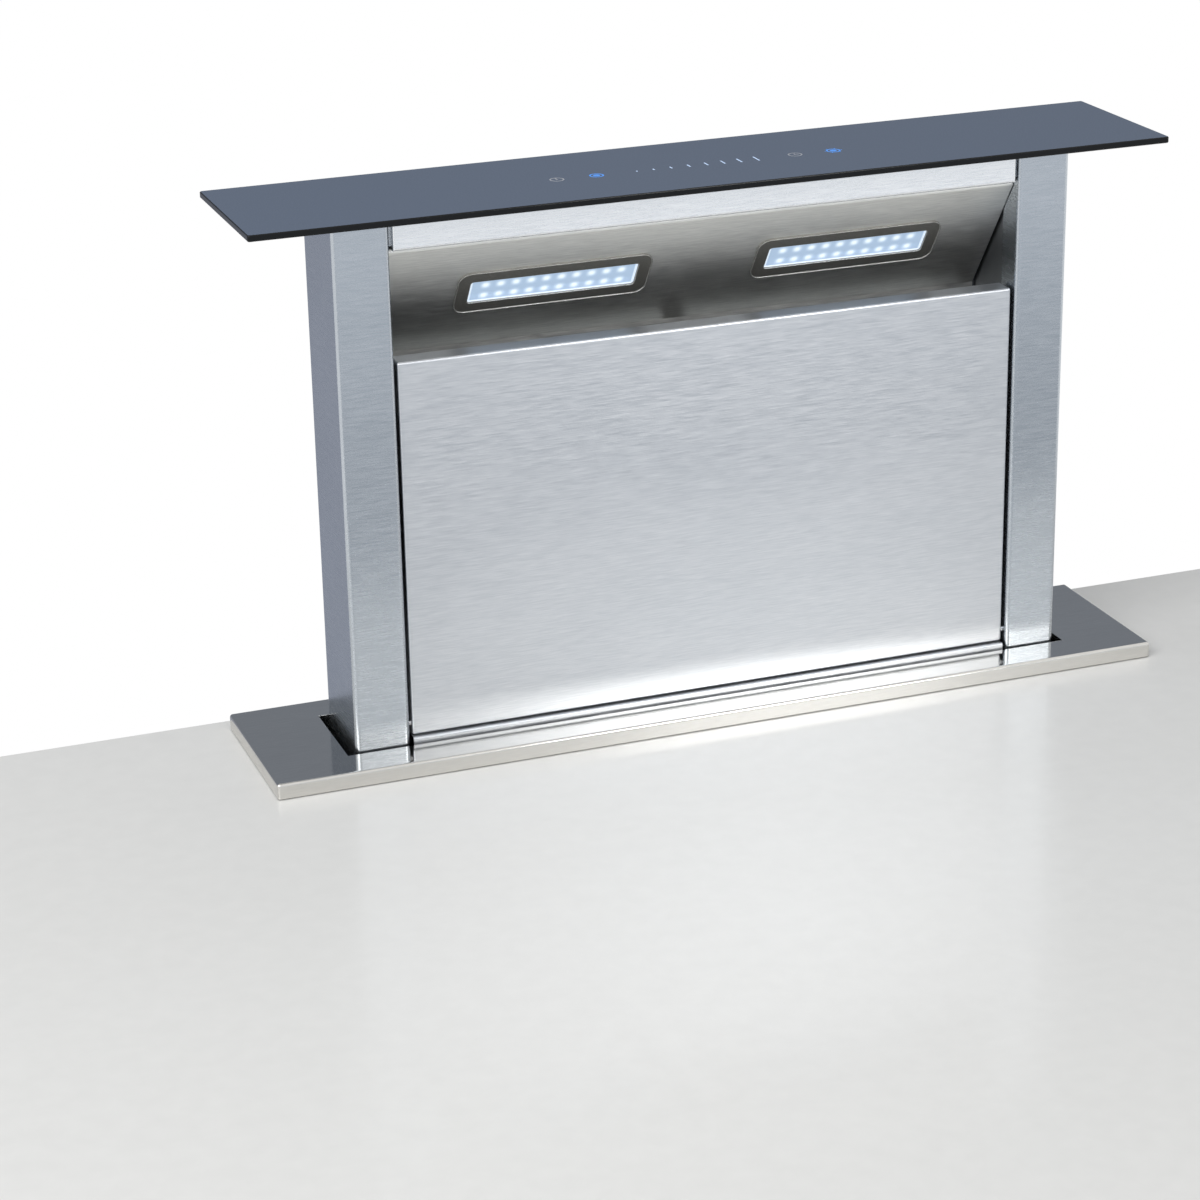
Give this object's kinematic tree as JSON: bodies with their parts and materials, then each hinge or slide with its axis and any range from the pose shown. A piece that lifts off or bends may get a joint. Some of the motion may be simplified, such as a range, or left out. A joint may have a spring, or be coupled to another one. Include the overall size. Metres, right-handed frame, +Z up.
{
  "type": "downdraft vent",
  "caption": "Pop-up worktop downdraft extractor, raised: glass-capped stainless tower with lamps and tilting suction panel, lift drive, housing, blower and round outlet.",
  "frame": {"origin": "centre of the worktop frame's underside, on the worktop's surface", "axes": "+X along the width, +Y to the back, +Z up; the front with the panel and lamps faces -Y"},
  "size_m": [0.6, 0.3024, 0.992],
  "materials": {
    "stainless": "fine horizontal grain",
    "duct_steel": "plain stainless sheet",
    "galvanised": "zinc-coated sheet",
    "zinc": "bright zinc plating",
    "turned_steel": "turned and ground",
    "motor_steel": "dark painted steel",
    "cap_glass": "dark back-printed, polished",
    "lamp_lens": "clear",
    "bezel_metal": "satin silver paint",
    "white_plastic": "white",
    "black_plastic": "fine texture",
    "sliding_plastic": "natural acetal",
    "rack_plastic": "natural acetal",
    "filter_aluminium": "satin",
    "filter_mesh": "expanded mesh",
    "foam": "closed-cell foam",
    "circuit_board": "solder resist"
  },
  "bodies": {
    "housing": {"worktop_frame": "stainless", "frame_gasket": "foam", "frame_nuts": "zinc", "housing_wrap": "galvanised", "housing_front": "galvanised", "housing_base": "galvanised", "housing_screws": "zinc", "left_clamp_bracket": "zinc", "right_clamp_bracket": "zinc", "left_guide_rail": "galvanised", "right_guide_rail": "galvanised", "left_rack": "rack_plastic", "right_rack": "rack_plastic", "blower_box": "galvanised", "blower_lid": "galvanised", "scroll_shell": "black_plastic", "inlet_ring": "galvanised", "fan_motor": "motor_steel", "outlet_spigot": "black_plastic", "flap_pin": "turned_steel", "control_box": "galvanised", "control_lid": "galvanised", "control_board": "circuit_board", "mains_gland": "black_plastic"},
    "tower": {"left_column": "stainless", "right_column": "stainless", "left_cheek": "duct_steel", "right_cheek": "duct_steel", "tower_back": "duct_steel", "tower_rivets": "zinc", "glass_cap": "cap_glass", "top_rail": "stainless", "touch_board": "circuit_board", "lamp_panel": "stainless", "left_lamp_bezel": "bezel_metal", "right_lamp_bezel": "bezel_metal", "lamp_lenses": "lamp_lens", "lamp_reflectors": "white_plastic", "lamp_boards": "white_plastic", "panel_pins": "turned_steel", "catch_magnets": "black_plastic", "drip_sill": "stainless", "left_filter_frame": "filter_aluminium", "right_filter_frame": "filter_aluminium", "filter_meshes": "filter_mesh", "filter_post": "duct_steel", "lift_beam": "duct_steel", "bearing_hangers": "duct_steel", "left_slider": "sliding_plastic", "right_slider": "sliding_plastic", "lift_motor": "motor_steel"},
    "suction_panel": {"front_panel": "stainless", "panel_liner": "stainless"},
    "cross_shaft": {"lift_shaft": "turned_steel", "lift_pinions": "rack_plastic", "shaft_gear": "rack_plastic"},
    "motor_shaft": {"motor_gear": "turned_steel"},
    "fan": {"fan_wheel": "black_plastic"},
    "rear_flap": {"back_flap": "black_plastic"},
    "near_flap": {"front_flap": "black_plastic"}
  },
  "joints": [
    {"name": "tower_lift", "type": "slide", "parent": "housing", "child": "tower", "axis": [0, 0, 1], "range_m": [-0.337, 0]},
    {"name": "shaft_turn", "type": "hinge", "parent": "tower", "child": "cross_shaft", "pos_m": [0, 0.01, -0.142], "axis": [1, 0, 0], "range_deg": [0, 1073]},
    {"name": "motor_turn", "type": "hinge", "parent": "tower", "child": "motor_shaft", "pos_m": [0.034, -0.0215, -0.142], "axis": [1, 0, 0], "range_deg": [-2146, 0]},
    {"name": "front_panel_tilt", "type": "hinge", "parent": "tower", "child": "suction_panel", "pos_m": [0, -0.0256, 0.022], "axis": [1, 0, 0], "range_deg": [0, 80]},
    {"name": "fan_spin", "type": "hinge", "parent": "housing", "child": "fan", "pos_m": [0.014, -0.15, -0.468], "axis": [0, 1, 0], "continuous": true},
    {"name": "back_flap_swing", "type": "hinge", "parent": "housing", "child": "rear_flap", "pos_m": [-0.175, -0.1375, -0.555], "axis": [0, 0, 1], "range_deg": [0, 75], "stiffness_Nm_per_rad": 0.01, "springref_deg": -11.46},
    {"name": "front_flap_swing", "type": "hinge", "parent": "housing", "child": "near_flap", "pos_m": [-0.175, -0.1375, -0.555], "axis": [0, 0, -1], "range_deg": [0, 75], "stiffness_Nm_per_rad": 0.01, "springref_deg": -11.46}
  ],
  "couplings": [
    {"joint": "shaft_turn", "follows": "tower_lift", "rad_per_m": -55.556},
    {"joint": "motor_turn", "follows": "tower_lift", "rad_per_m": 111.11}
  ]
}
